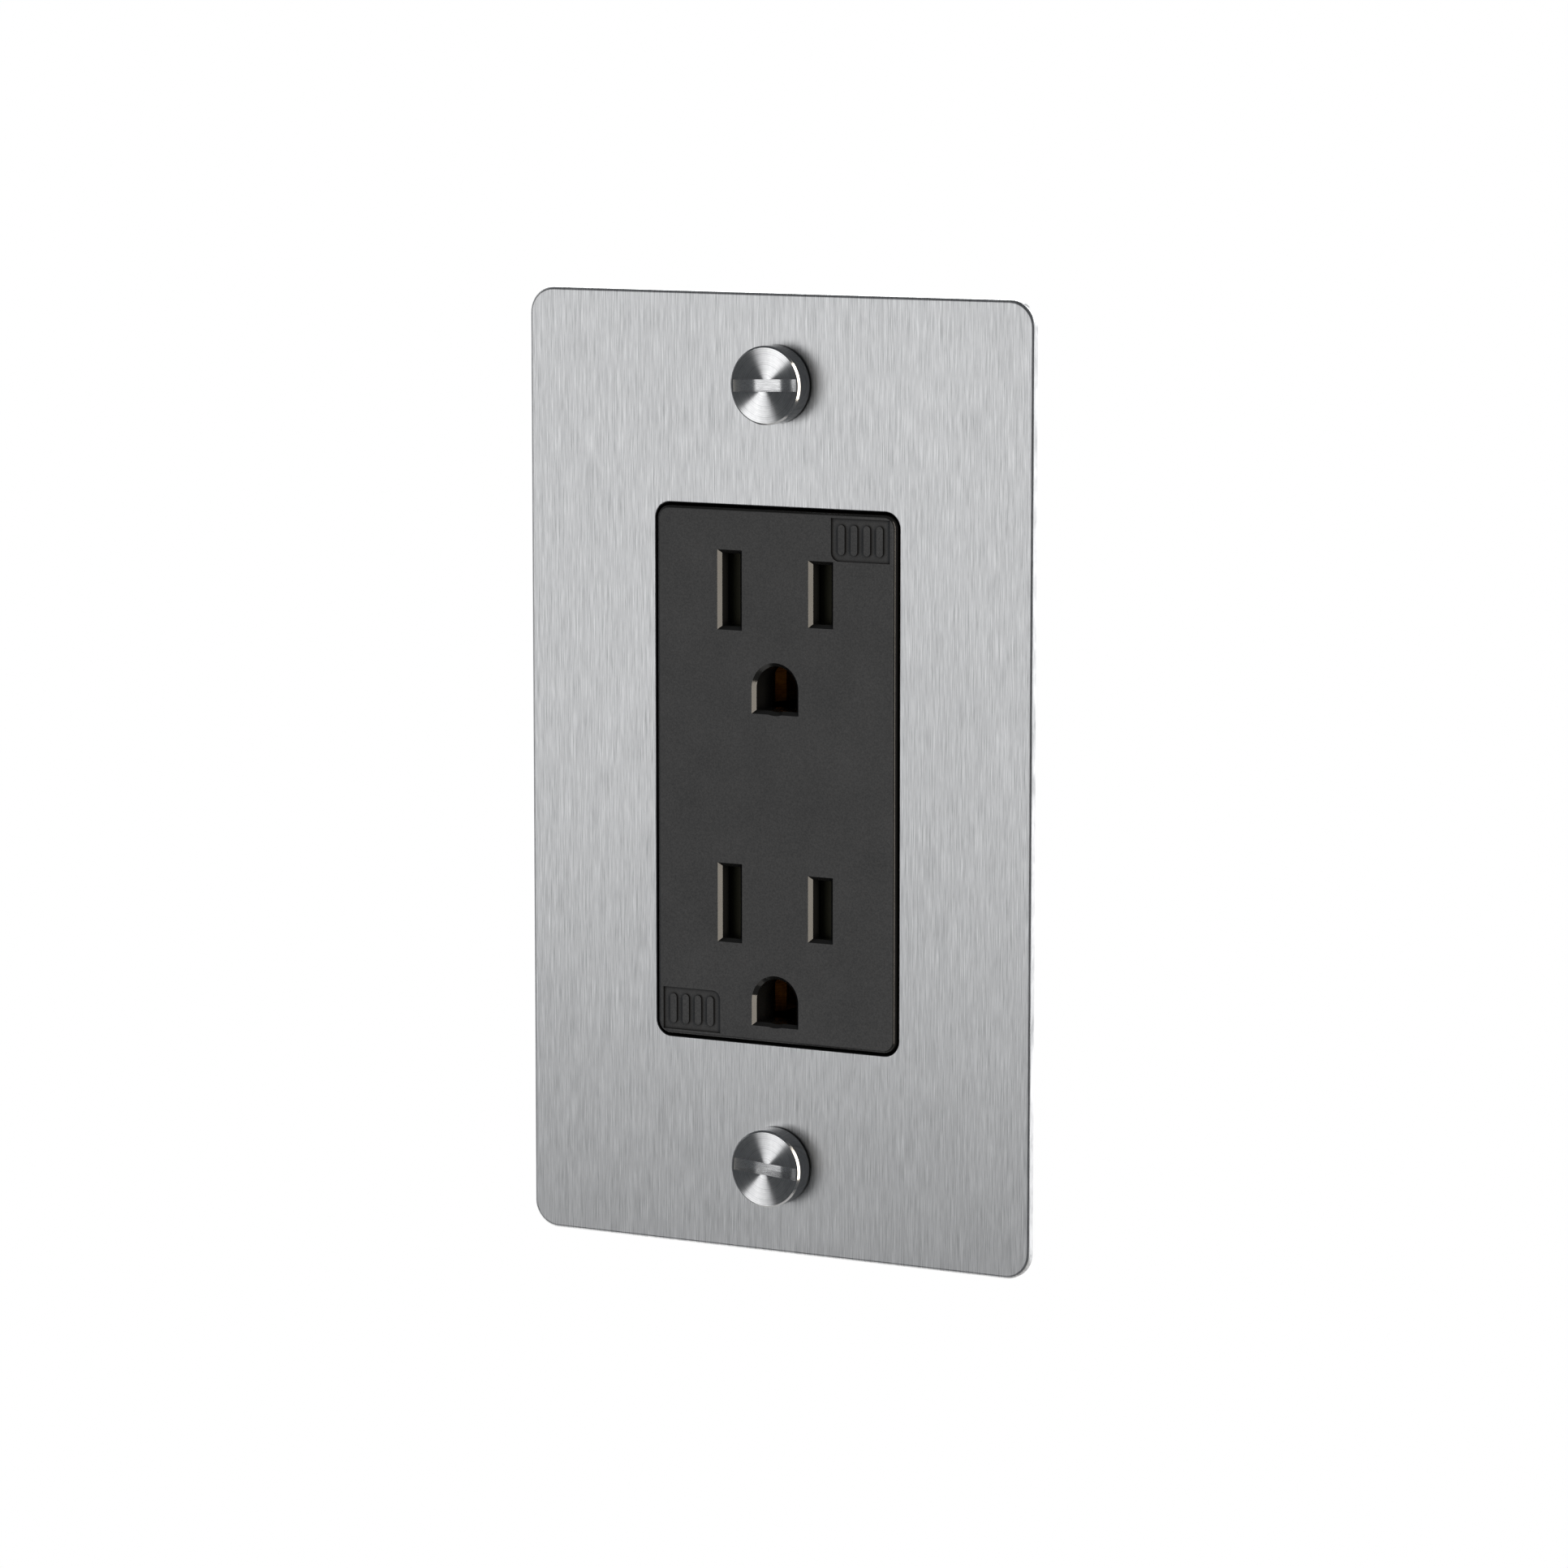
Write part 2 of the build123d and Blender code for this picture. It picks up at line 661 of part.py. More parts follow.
def make_box_screw(end):
    z = box_screw_z[end]
    head_back = strap_t + seat_gap
    neck_l = head_back + retainer_t + box_neck_rest
    with BuildPart() as box_screw:
        with BuildSketch(room(head_back)):
            with Locations((0, z)):
                Circle(box_head_r)
        extrude(amount=box_head_t)
        fillet(box_screw.faces().sort_by(Axis.Y)[0].edges(), box_head_edge_r)
        with BuildSketch(room(head_back + box_head_t - driver_slot_depth)):
            with Locations((0, z)):
                Rectangle(2 * box_head_r, driver_slot_w)
                Rectangle(driver_slot_w, box_cross_l)
        extrude(amount=driver_slot_depth, mode=Mode.SUBTRACT)
        with BuildSketch(room(head_back - box_screw_l)):
            with Locations((0, z)):
                Circle(screw_r)
        extrude(amount=box_screw_l - neck_l)
        chamfer(box_screw.faces().sort_by(Axis.Y)[-1].edges(), thread_pitch / 2)
        with BuildSketch(room(head_back - neck_l)):
            with Locations((0, z)):
                Circle(box_neck_r)
        extrude(amount=neck_l)
    save(box_screw.part, f"box_screw_{end}")


def make_box_screw_retainer(end):
    with BuildPart() as box_screw_retainer:
        with BuildSketch(room(-retainer_t)):
            with Locations((0, box_screw_z[end])):
                Rectangle(retainer_side, retainer_side)
                Circle(box_neck_r + thread_gap, mode=Mode.SUBTRACT)
        extrude(amount=retainer_t)
    save(box_screw_retainer.part, f"box_screw_retainer_{end}")


def make_assembly_screws():
    head_rear = -body_depth + assembly_counterbore - assembly_head_t
    with BuildPart() as assembly_screws:
        with BuildSketch(room(head_rear)):
            with Locations(*assembly_spots):
                Circle(assembly_head_r)
        extrude(amount=assembly_head_t)
        with BuildSketch(room(head_rear)):
            with Locations(*assembly_spots):
                Circle(assembly_r)
        extrude(amount=strap_t - thread_gap - head_rear)
        with BuildSketch(room(head_rear)):
            with Locations(*assembly_spots):
                RegularPolygon(assembly_r, 6)
        extrude(amount=assembly_socket_depth, mode=Mode.SUBTRACT)
    save(assembly_screws.part, "assembly_screws")


def make_clamp(label, inner_x, side, size, depth, z):
    """A pressure plate under a terminal screw's head, facing out to one side."""
    with BuildPart() as clamp:
        with BuildSketch(upright(side * inner_x)):
            with Locations((depth, z)):
                RectangleRounded(size, size, clamp_corner_r)
                Circle(terminal_r + clamp_hole_gap, mode=Mode.SUBTRACT)
        extrude(amount=side * clamp_t)
    save(clamp.part, label)


def make_terminal_screw(label, inner_x, side, depth, z, hexagonal):
    """A terminal screw whose head's underside is at inner_x, pointing in from one side."""
    with BuildPart() as terminal_screw:
        with BuildSketch(upright(side * inner_x)):
            with Locations((depth, z)):
                if hexagonal:
                    RegularPolygon(ground_hex_r, 6)
                else:
                    Circle(terminal_head_r)
        extrude(amount=side * terminal_head_t)
        outer_face = terminal_screw.faces().sort_by(Axis.X)[-1 if side > 0 else 0]
        chamfer(outer_face.edges(), terminal_head_chamfer)
        with BuildSketch(upright(side * (inner_x + terminal_head_t - driver_slot_depth))):
            with Locations((depth, z)):
                Rectangle(driver_slot_w, 2 * ground_hex_r)
                Rectangle(terminal_head_r, driver_slot_w)
        extrude(amount=side * driver_slot_depth, mode=Mode.SUBTRACT)
        with BuildSketch(upright(side * inner_x)):
            with Locations((depth, z)):
                Circle(terminal_r)
        extrude(amount=-side * terminal_shank_l)
    save(terminal_screw.part, label)


def make_terminals():
    clamp_x = terminal_face_x + clamp_gap
    head_x = clamp_x + clamp_t + terminal_head_gap
    for pole, side in SIDES.items():
        for end, z in terminal_z.items():
            make_clamp(f"{pole}_clamp_{end}", clamp_x, side, clamp_side, terminal_depth, z)
            make_terminal_screw(
                f"{pole}_terminal_screw_{end}", head_x, side, terminal_depth, z, False
            )
    clamp_x = strap_w / 2 + clamp_gap
    head_x = clamp_x + clamp_t + terminal_head_gap
    make_clamp("ground_clamp", clamp_x, -1, ground_clamp_side, ground_screw_depth, ground_screw_z)
    make_terminal_screw(
        "ground_terminal_screw", head_x, -1, ground_screw_depth, ground_screw_z, True
    )


os.makedirs("parts", exist_ok=True)
make_wall_plate()
make_backing_frame()
make_mounting_strap()
make_receptacle_face()
make_rear_body()
make_shutter_tray()
make_side_contact("hot")
make_side_contact("neutral")
make_ground_contact()
make_assembly_screws()
make_terminals()
for end_name in END_NAMES:
    make_shutter(end_name)
    make_shutter_spring(end_name)
    make_plate_screw(end_name)
    make_plate_screw_washer(end_name)
    make_box_screw(end_name)
    make_box_screw_retainer(end_name)
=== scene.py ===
import json
import math

import bmesh
import bpy
from mathutils import Matrix, Vector


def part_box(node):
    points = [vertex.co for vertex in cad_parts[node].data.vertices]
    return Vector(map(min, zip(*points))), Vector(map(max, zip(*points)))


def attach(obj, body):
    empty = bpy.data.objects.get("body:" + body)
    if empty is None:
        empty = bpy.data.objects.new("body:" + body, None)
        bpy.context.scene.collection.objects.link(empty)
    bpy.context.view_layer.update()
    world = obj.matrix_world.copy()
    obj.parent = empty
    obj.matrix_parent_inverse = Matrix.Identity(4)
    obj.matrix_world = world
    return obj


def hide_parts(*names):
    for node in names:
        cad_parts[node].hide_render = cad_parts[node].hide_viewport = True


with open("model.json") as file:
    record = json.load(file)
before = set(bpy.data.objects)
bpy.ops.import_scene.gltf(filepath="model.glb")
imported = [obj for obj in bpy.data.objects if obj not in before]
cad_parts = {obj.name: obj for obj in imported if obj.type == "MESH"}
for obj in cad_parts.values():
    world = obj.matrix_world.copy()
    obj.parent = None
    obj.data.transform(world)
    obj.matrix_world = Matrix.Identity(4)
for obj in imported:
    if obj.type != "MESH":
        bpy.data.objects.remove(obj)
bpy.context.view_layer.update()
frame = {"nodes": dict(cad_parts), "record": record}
nodes = frame["nodes"]
record = frame["record"]
ENDS = ("top", "bottom")
MESH_GAP = 1e-6
WELD_GAP = 1e-7
UV_PER_METRE = 100
SHARP_ANGLE = math.radians(28)

# Standard 6-32 screw
PITCH = 25.4e-3 / 32
SCREW_R = 3.505e-3 / 2
SCREW_ROOT_R = 1.27e-3
THREAD_SIDES = 40
SHANK_FIT = 2e-5

# Coin head
COIN_T = 2.6e-3
COIN_CHAMFER = 0.22e-3
COIN_EDGE = 0.03e-3
COIN_SIDES = 144
SLOT_INSET = 1e-5
SAW_SIDES = 360
SLOT_W = 1.5e-3
SLOT_L = 8.75e-3
SLOT_DEPTH = 1.5e-3
SLOT_TILT = {"top": 2.0, "bottom": -4.0}
SAW_R = (SLOT_L**2 / 4 + SLOT_DEPTH**2) / (2 * SLOT_DEPTH)


# ---------------------------------------------------------------- node helpers
class Graph:
    """A small wrapper that adds shader nodes and links by value or by socket."""

    def __init__(self, name):
        self.material = bpy.data.materials.new(name)
        self.material.use_nodes = True
        self.tree = self.material.node_tree
        self.tree.nodes.clear()
        out = self.tree.nodes.new("ShaderNodeOutputMaterial")
        self.bsdf = self.tree.nodes.new("ShaderNodeBsdfPrincipled")
        self.tree.links.new(self.bsdf.outputs[0], out.inputs[0])
        coords = self.tree.nodes.new("ShaderNodeTexCoord")
        self.place = coords.outputs["Object"]

    def put(self, socket, value):
        if isinstance(value, bpy.types.NodeSocket):
            self.tree.links.new(value, socket)
        else:
            socket.default_value = value

    def node(self, kind, **settings):
        made = self.tree.nodes.new(kind)
        for key, value in settings.items():
            setattr(made, key, value)
        return made

    def math(self, operation, a, b=0.0, c=0.0, clamp=False):
        made = self.node("ShaderNodeMath", operation=operation, use_clamp=clamp)
        for socket, value in zip(made.inputs, (a, b, c)):
            self.put(socket, value)
        return made.outputs[0]

    def stretch(self, x, y, z, source=None):
        """The object's coordinates, or the source's, in metres, times a frequency along each axis."""
        made = self.node("ShaderNodeVectorMath", operation="MULTIPLY")
        self.put(made.inputs[0], source or self.place)
        made.inputs[1].default_value = (x, y, z)
        return made.outputs[0]

    def noise(self, vector, detail=2.0, roughness=0.5, distortion=0.0):
        made = self.node("ShaderNodeTexNoise")
        self.put(made.inputs["Vector"], vector)
        made.inputs["Scale"].default_value = 1.0
        made.inputs["Detail"].default_value = detail
        made.inputs["Roughness"].default_value = roughness
        made.inputs["Distortion"].default_value = distortion
        return made.outputs[0]

    def cells(self, vector, feature="F1"):
        made = self.node("ShaderNodeTexVoronoi", feature=feature)
        self.put(made.inputs["Vector"], vector)
        made.inputs["Scale"].default_value = 1.0
        return made.outputs["Distance"]

    def ramp(self, value, low, high, to_low=0.0, to_high=1.0):
        made = self.node("ShaderNodeMapRange", clamp=True)
        for socket, item in zip(made.inputs, (value, low, high, to_low, to_high)):
            self.put(socket, item)
        return made.outputs[0]

    def blend(self, factor, first, second):
        made = self.node("ShaderNodeMix", data_type="RGBA")
        self.put(made.inputs[0], factor)
        for socket, colour in ((made.inputs[6], first), (made.inputs[7], second)):
            self.put(socket, colour if isinstance(colour, bpy.types.NodeSocket) else (*colour, 1.0))
        return made.outputs[2]

    def bump(self, height, distance, strength=1.0, base=None):
        made = self.node("ShaderNodeBump")
        made.inputs["Strength"].default_value = strength
        made.inputs["Distance"].default_value = distance
        self.put(made.inputs["Height"], height)
        if base is not None:
            self.put(made.inputs["Normal"], base)
        return made.outputs[0]

    def parts(self, source):
        made = self.node("ShaderNodeSeparateXYZ")
        self.put(made.inputs[0], source)
        return made.outputs

    def surface(self, **values):
        for key, value in values.items():
            socket = self.bsdf.inputs[key]
            if isinstance(value, tuple) and len(value) == 3 and socket.type == "RGBA":
                value = (*value, 1.0)
            self.put(socket, value)
        return self.material


# ---------------------------------------------------------------- materials
def brushed_plate():
    """Stainless steel with fine streaks that run along the plate's height."""
    g = Graph("brushed_plate")
    fine = g.noise(g.stretch(14500, 600, 260), detail=3.0, roughness=0.65)
    broad = g.noise(g.stretch(5600, 300, 80), detail=2.0)
    cloud = g.noise(g.stretch(60, 60, 28), detail=2.0)
    streak = g.math("MULTIPLY_ADD", fine, 0.72, g.math("MULTIPLY", broad, 0.28))
    shade = g.ramp(streak, 0.3, 0.7)
    colour = g.blend(shade, (0.35, 0.355, 0.362), (0.86, 0.862, 0.868))
    rough = g.math("ADD", g.ramp(streak, 0.25, 0.75, 0.35, 0.29), g.ramp(cloud, 0.3, 0.7, -0.01, 0.01))
    normal = g.bump(fine, 1.2e-5, 1.0, g.bump(broad, 1.2e-5, 0.6))
    return g.surface(**{"Base Color": colour, "Metallic": 1.0, "Roughness": rough, "Normal": normal})


def turned_steel():
    """A lathe-turned face: fine rings about the axis that spread a reflection outward from the centre."""
    g = Graph("turned_steel")
    x, y, z = g.parts(g.place)
    radius = g.math("SQRT", g.math("ADD", g.math("MULTIPLY", x, x), g.math("MULTIPLY", z, z)))
    ring = g.node("ShaderNodeCombineXYZ")
    g.put(ring.inputs[0], radius)
    fine = g.noise(g.stretch(7600, 1, 1, ring.outputs[0]), detail=3.0, roughness=0.6)
    broad = g.noise(g.stretch(2600, 1, 1, ring.outputs[0]), detail=1.0)
    smear = g.noise(g.stretch(1500, 1500, 1500), detail=2.0)
    dull = g.math("MULTIPLY_ADD", broad, 0.17, g.math("MULTIPLY", smear, 0.15))
    lines = g.math("MULTIPLY_ADD", fine, 0.68, dull)
    colour = g.blend(g.ramp(lines, 0.32, 0.68), (0.40, 0.402, 0.41), (0.92, 0.922, 0.925))
    tangent = g.node("ShaderNodeTangent", direction_type="RADIAL", axis="Y")
    return g.surface(**{
        "Base Color": colour,
        "Metallic": 1.0,
        "Roughness": g.ramp(lines, 0.3, 0.7, 0.45, 0.39),
        "Anisotropic": 1.0,
        "Anisotropic Rotation": 0.25,
        "Tangent": tangent.outputs[0],
        "Normal": g.bump(lines, 3.0e-6, 0.6),
    })


def polished_steel():
    """The coin head's side, chamfer and back: nearly mirror bright, with faint turning marks round it."""
    g = Graph("polished_steel")
    marks = g.noise(g.stretch(500, 16000, 500), detail=2.0)
    smear = g.noise(g.stretch(900, 900, 900), detail=2.0)
    return g.surface(**{
        "Base Color": g.blend(g.ramp(marks, 0.3, 0.7), (0.56, 0.562, 0.57), (0.66, 0.662, 0.668)),
        "Metallic": 1.0,
        "Roughness": g.ramp(smear, 0.3, 0.7, 0.1, 0.18),
        "Normal": g.bump(marks, 1.2e-6, 0.5),
    })


def slotted_steel():
    """The driver slot: saw marks along its length, which spread a reflection across it."""
    g = Graph("slotted_steel")
    marks = g.noise(g.stretch(700, 6000, 12000), detail=3.0, roughness=0.6)
    tangent = g.node("ShaderNodeTangent", direction_type="UV_MAP", uv_map="along")
    return g.surface(**{
        "Base Color": g.blend(g.ramp(marks, 0.3, 0.7), (0.50, 0.502, 0.51), (0.80, 0.802, 0.805)),
        "Metallic": 1.0,
        "Roughness": g.ramp(marks, 0.3, 0.7, 0.22, 0.16),
        "Anisotropic": 0.4,
        "Anisotropic Rotation": 0.25,
        "Tangent": tangent.outputs[0],
        "Normal": g.bump(marks, 3.0e-6, 0.6),
    })


def moulded(name, low, high, grain, depth, rough_low, rough_high, sheen=0.5, wall_rough=None):
    """Moulded plastic: a fine spark-eroded grain with slow shade changes.

    With wall_rough, the side walls are about that rough and painted near black as painted shade, and narrow
    corners get painted shade from an ambient-occlusion mask.
    """
    g = Graph(name)
    fine = g.noise(g.stretch(grain, grain, grain), detail=3.0, roughness=0.6)
    slow = g.noise(g.stretch(140, 140, 140), detail=2.0)
    shade = g.math("MULTIPLY_ADD", fine, 0.75, g.math("MULTIPLY", slow, 0.25))
    colour = g.blend(g.ramp(shade, 0.3, 0.7), low, high)
    drift = g.ramp(slow, 0.3, 0.7, -0.03, 0.03)
    rough = g.math("ADD", g.ramp(fine, 0.3, 0.7, rough_low, rough_high), drift)
    normal = g.bump(fine, depth)
    if wall_rough is not None:
        geometry = g.node("ShaderNodeNewGeometry")
        facing = g.math("ABSOLUTE", g.parts(geometry.outputs["Normal"])[1])
        front = g.ramp(facing, 0.86, 0.97)
        rough = g.ramp(front, 0.0, 1.0, g.ramp(slow, 0.3, 0.7, wall_rough, wall_rough + 0.08), rough)
        normal = g.bump(g.math("MULTIPLY", fine, g.ramp(front, 0.0, 1.0, 0.15, 1.0)), depth)
        # Side walls painted near black: painted shade for the recesses of slots, pockets and edges.
        colour = g.blend(front, (0.012, 0.012, 0.012), colour)
        # Narrow corners darkened by ambient occlusion: painted shade in the base colour.
        painted_crevice_shade = g.node("ShaderNodeAmbientOcclusion", samples=12, only_local=True)
        painted_crevice_shade.inputs["Distance"].default_value = 0.9e-3
        colour = g.blend(g.ramp(painted_crevice_shade.outputs["AO"], 0.55, 0.97), (0.008, 0.008, 0.009), colour)
    return g.surface(**{
        "Base Color": colour,
        "Roughness": rough,
        "Specular IOR Level": sheen,
        "Normal": normal,
    })


def plated(name, low, high, rough_low, rough_high, stretch, depth, metallic=1.0, stain=None):
    """Plated or rolled metal: directional drawing marks, slow tarnish and small pits."""
    g = Graph(name)
    marks = g.noise(g.stretch(*stretch), detail=3.0, roughness=0.6)
    slow = g.noise(g.stretch(320, 320, 320), detail=3.0, roughness=0.55)
    pits = g.cells(g.stretch(2600, 2600, 2600))
    base = g.blend(g.ramp(marks, 0.3, 0.7), low, high)
    if stain:
        base = g.blend(g.ramp(slow, 0.52, 0.72, 0.0, 0.55), base, stain)
    rough = g.math("ADD", g.ramp(slow, 0.3, 0.7, rough_low, rough_high), g.ramp(pits, 0.0, 0.35, 0.1, 0.0))
    normal = g.bump(marks, depth, 1.0, g.bump(g.ramp(pits, 0.0, 0.3), depth, 0.35))
    return g.surface(**{"Base Color": base, "Metallic": metallic, "Roughness": rough, "Normal": normal})


def fibre():
    """Vulcanised fibre: short matted strands in a red-brown sheet."""
    g = Graph("fibre")
    strands = g.noise(g.stretch(5200, 900, 2100), detail=4.0, roughness=0.7, distortion=0.8)
    flecks = g.cells(g.stretch(1700, 1700, 1700))
    colour = g.blend(g.ramp(strands, 0.3, 0.7), (0.16, 0.07, 0.045), (0.36, 0.18, 0.11))
    colour = g.blend(g.ramp(flecks, 0.0, 0.3, 0.35, 0.0), colour, (0.5, 0.3, 0.2))
    return g.surface(**{
        "Base Color": colour,
        "Roughness": g.ramp(strands, 0.3, 0.7, 0.75, 0.9),
        "Normal": g.bump(strands, 2.5e-5),
    })


ROLLED = (700, 700, 5200)
TURNED = (2600, 2600, 2600)
looks = {
    "brushed_plate": brushed_plate(),
    "turned_steel": turned_steel(),
    "polished_steel": polished_steel(),
    "slotted_steel": slotted_steel(),
    "washer_nylon": moulded(
        "washer_nylon", (0.012, 0.012, 0.012), (0.022, 0.022, 0.022),
        grain=5200, depth=1e-5, rough_low=0.5, rough_high=0.6,
    ),
    "grey_face": moulded(
        "grey_face", (0.045, 0.047, 0.051), (0.112, 0.115, 0.122),
        grain=5200, depth=2.2e-5, rough_low=0.60, rough_high=0.76, sheen=0.5, wall_rough=0.10,
    ),
    "shutter_plastic": moulded(
        "shutter_plastic", (0.070, 0.068, 0.046), (0.100, 0.096, 0.066),
        grain=5200, depth=1e-5, rough_low=0.4, rough_high=0.55,
    ),
    "tray_plastic": moulded(
        "tray_plastic", (0.022, 0.022, 0.024), (0.034, 0.034, 0.036),
        grain=4200, depth=1.2e-5, rough_low=0.5, rough_high=0.65,
    ),
    "black_frame": moulded(
        "black_frame", (0.013, 0.013, 0.014), (0.022, 0.022, 0.023),
        grain=5200, depth=1.5e-5, rough_low=0.55, rough_high=0.7,
    ),
    "body_plastic": moulded(
        "body_plastic", (0.026, 0.026, 0.028), (0.042, 0.042, 0.045),
        grain=3600, depth=2e-5, rough_low=0.5, rough_high=0.66,
    ),
    "zinc_steel": plated(
        "zinc_steel", (0.46, 0.475, 0.49), (0.62, 0.63, 0.64),
        rough_low=0.28, rough_high=0.44, stretch=ROLLED, depth=6e-6,
        metallic=1.0, stain=(0.34, 0.36, 0.38),
    ),
    "clamp_steel": plated(
        "clamp_steel", (0.42, 0.42, 0.40), (0.60, 0.59, 0.55),
        rough_low=0.3, rough_high=0.46, stretch=TURNED, depth=6e-6,
        metallic=1.0, stain=(0.42, 0.38, 0.26),
    ),
    # Darker than bare brass all over: painted shade for the deep ground holes it is seen through. The darker
    # stain patches are tarnish.
    "contact_brass": plated(
        "contact_brass", (0.22, 0.125, 0.045), (0.38, 0.235, 0.095),
        rough_low=0.3, rough_high=0.46, stretch=ROLLED, depth=6e-6,
        metallic=1.0, stain=(0.13, 0.06, 0.03),
    ),
    "brass_screw": plated(
        "brass_screw", (0.62, 0.43, 0.17), (0.80, 0.60, 0.28),
        rough_low=0.2, rough_high=0.34, stretch=TURNED, depth=5e-6,
        metallic=1.0, stain=(0.44, 0.27, 0.11),
    ),
    "silver_screw": plated(
        "silver_screw", (0.60, 0.59, 0.57), (0.74, 0.73, 0.71),
        rough_low=0.18, rough_high=0.3, stretch=TURNED, depth=5e-6,
        metallic=1.0, stain=(0.48, 0.46, 0.42),
    ),
    "green_screw": plated(
        "green_screw", (0.012, 0.095, 0.032), (0.03, 0.18, 0.065),
        rough_low=0.3, rough_high=0.42, stretch=TURNED, depth=5e-6,
        metallic=0.9, stain=(0.02, 0.07, 0.03),
    ),
    "spring_steel": plated(
        "spring_steel", (0.36, 0.36, 0.37), (0.55, 0.55, 0.56),
        rough_low=0.22, rough_high=0.34, stretch=(9000, 2000, 2000), depth=4e-6,
    ),
    "fibre": fibre(),
}
slot_of = {row["node"]: row["material_slot"] for row in record["subparts"]}


def dress(obj, slot):
    obj.data.materials.clear()
    obj.data.materials.append(looks[slot])


for name, obj in nodes.items():
    dress(obj, slot_of[name])


# ---------------------------------------------------------------- threaded screws
def thread_rows(outer, root, low, high, rows_per_turn=8, around=THREAD_SIDES):
    """The points and faces of a helical V thread along +Y, from low to high."""
    profile = (0.0, 0.0, 0.45, 0.9, 1.0, 1.0, 0.55, 0.1)
    turns = math.ceil((high - low) / PITCH) + 2
    points, faces = [], []
    count = turns * rows_per_turn
    for k in range(count + rows_per_turn + 1):
        for i in range(around):
            y = low - PITCH + k * PITCH / rows_per_turn + PITCH * i / around
            lift = profile[k % rows_per_turn]
            fade = min(1.0, max(0.0, (y - low) / PITCH), max(0.0, (high - y) / (0.6 * PITCH)))
            radius = root + (outer - root) * lift * fade
            angle = 2 * math.pi * i / around
            points.append((radius * math.cos(angle), min(high, max(low, y)), radius * math.sin(angle)))
    for k in range(count):
        for i in range(around):
            a = k * around + i
            b = a + 1 if i + 1 < around else (k + rows_per_turn) * around
            faces.append((a, a + around, b + around, b))
    return points, faces


def ring_of(bm, radius, y, around):
    if radius == 0:
        return [bm.verts.new((0, y, 0))]
    turns = (2 * math.pi * (i + 0.5) / around for i in range(around))
    return [bm.verts.new((radius * math.cos(t), y, radius * math.sin(t))) for t in turns]


def lathe(bm, profile, around=COIN_SIDES):
    """A closed turned solid from (radius, y) pairs, front to back."""
    rings = [ring_of(bm, radius, y, around) for radius, y in profile]
    for one, two in zip(rings, rings[1:]):
        for i in range(around):
            j = (i + 1) % around
            corners = [one[i % len(one)], one[j % len(one)], two[j % len(two)], two[i % len(two)]]
            bm.faces.new(list(dict.fromkeys(corners)))


def finished(name, bm):
    bmesh.ops.remove_doubles(bm, verts=bm.verts, dist=WELD_GAP)
    bmesh.ops.recalc_face_normals(bm, faces=bm.faces)
    mesh = bpy.data.meshes.new(name)
    bm.to_mesh(mesh)
    bm.free()
    return mesh


def cut(mesh, tool_mesh):
    """The mesh with the tool taken away, as a new mesh."""
    made = [bpy.data.objects.new(m.name, m) for m in (mesh, tool_mesh)]
    for obj in made:
        bpy.context.scene.collection.objects.link(obj)
    body, tool = made
    step = body.modifiers.new("cut", "BOOLEAN")
    step.operation = "DIFFERENCE"
    step.solver = "EXACT"
    step.object = tool
    bpy.context.view_layer.update()
    result = bpy.data.meshes.new_from_object(body.evaluated_get(bpy.context.evaluated_depsgraph_get()))
    for obj in made:
        bpy.data.objects.remove(obj)
    return result


def add_thread(bm, outer, root, low, high):
    points, faces = thread_rows(outer, root, low, high)
    verts = [bm.verts.new(p) for p in points]
    for face in faces:
        bm.faces.new([verts[i] for i in face])
    for y in (low, high):
        rim = ring_of(bm, root, y, THREAD_SIDES)
        bm.faces.new(rim)


def faces_kept(name, mesh, wanted):
    """A new mesh with the faces whose middle's depth along the screw is wanted."""
    bm = bmesh.new()
    bm.from_mesh(mesh)
    spare = [f for f in bm.faces if not wanted(f.calc_center_median().y)]
    bmesh.ops.delete(bm, geom=spare, context="FACES")
    kept = bpy.data.meshes.new(name)
    bm.to_mesh(kept)
    bm.free()
    return kept


def stand_in(mesh, origin, body, finishes, pick):
    """Puts a made mesh at its origin on its body, with a finish for each face."""
    obj = bpy.data.objects.new(mesh.name, mesh)
    bpy.context.scene.collection.objects.link(obj)
    obj.location = origin
    mesh.materials.clear()
    for finish in finishes:
        mesh.materials.append(finish)
    along = mesh.uv_layers.new(name="along")
    for loop in mesh.loops:
        x, _, z = mesh.vertices[loop.vertex_index].co
        along.data[loop.index].uv = (UV_PER_METRE * x, UV_PER_METRE * z)
    mesh.set_sharp_from_angle(angle=SHARP_ANGLE)
    for face in mesh.polygons:
        face.use_smooth = True
        face.material_index = pick(face)
    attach(obj, body)
    return obj


